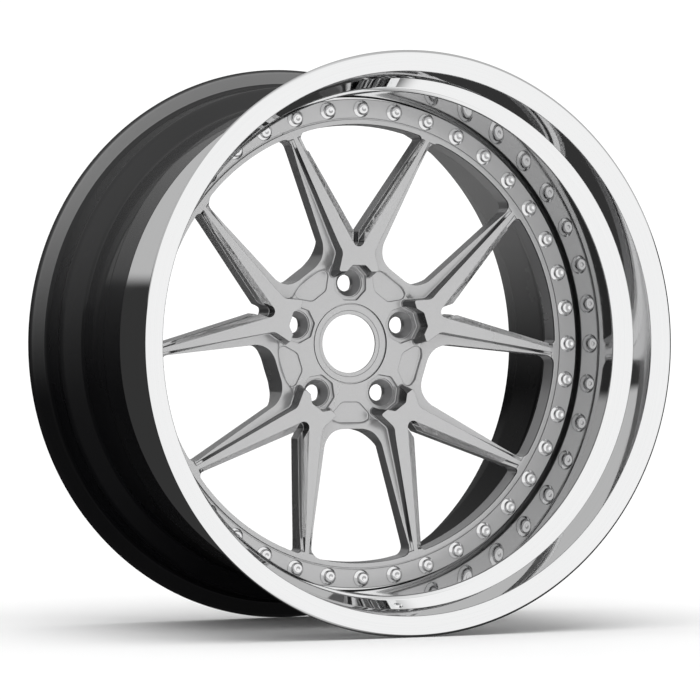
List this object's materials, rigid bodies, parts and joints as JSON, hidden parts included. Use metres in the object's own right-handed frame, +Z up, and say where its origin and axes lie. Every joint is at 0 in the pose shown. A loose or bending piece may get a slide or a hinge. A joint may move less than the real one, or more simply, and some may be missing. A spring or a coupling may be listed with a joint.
{
  "type": "forged racing wheel rim",
  "caption": "Three-piece forged racing wheel: polished stepped lip, black inner barrel and satin Y-spoke centre disc, joined by a ring of perimeter bolts; no tyre",
  "frame": {"origin": "centre of the wheel, on its axis midway between the two outer flanges", "axes": "+Y along the wheel axis toward the car, -Y out of the front face; +Z up, with one Y spoke upright"},
  "size_m": [0.5224, 0.2884, 0.5224],
  "materials": {
    "lip": "mirror-polished forged aluminium",
    "barrel": "gloss black coating on spun aluminium",
    "disc": "fine-grained satin silver coating on forged aluminium",
    "seal": "matt black rubber ring",
    "hardware": "bright plated steel bolts, washers and nuts"
  },
  "bodies": {
    "root": {"outer_lip": "lip", "inner_barrel": "barrel", "centre_disc": "disc", "rim_seal": "seal", "assembly_bolt_01": "hardware", "assembly_bolt_02": "hardware", "assembly_bolt_03": "hardware", "assembly_bolt_04": "hardware", "assembly_bolt_05": "hardware", "assembly_bolt_06": "hardware", "assembly_bolt_07": "hardware", "assembly_bolt_08": "hardware", "assembly_bolt_09": "hardware", "assembly_bolt_10": "hardware", "assembly_bolt_11": "hardware", "assembly_bolt_12": "hardware", "assembly_bolt_13": "hardware", "assembly_bolt_14": "hardware", "assembly_bolt_15": "hardware", "assembly_bolt_16": "hardware", "assembly_bolt_17": "hardware", "assembly_bolt_18": "hardware", "assembly_bolt_19": "hardware", "assembly_bolt_20": "hardware", "assembly_bolt_21": "hardware", "assembly_bolt_22": "hardware", "assembly_bolt_23": "hardware", "assembly_bolt_24": "hardware", "assembly_bolt_25": "hardware", "assembly_bolt_26": "hardware", "assembly_bolt_27": "hardware", "assembly_bolt_28": "hardware", "assembly_bolt_29": "hardware", "assembly_bolt_30": "hardware", "assembly_bolt_31": "hardware", "assembly_bolt_32": "hardware", "assembly_bolt_33": "hardware", "assembly_bolt_34": "hardware", "assembly_bolt_35": "hardware", "assembly_bolt_36": "hardware", "assembly_bolt_37": "hardware", "assembly_bolt_38": "hardware", "assembly_bolt_39": "hardware", "assembly_bolt_40": "hardware"}
  },
  "joints": []
}
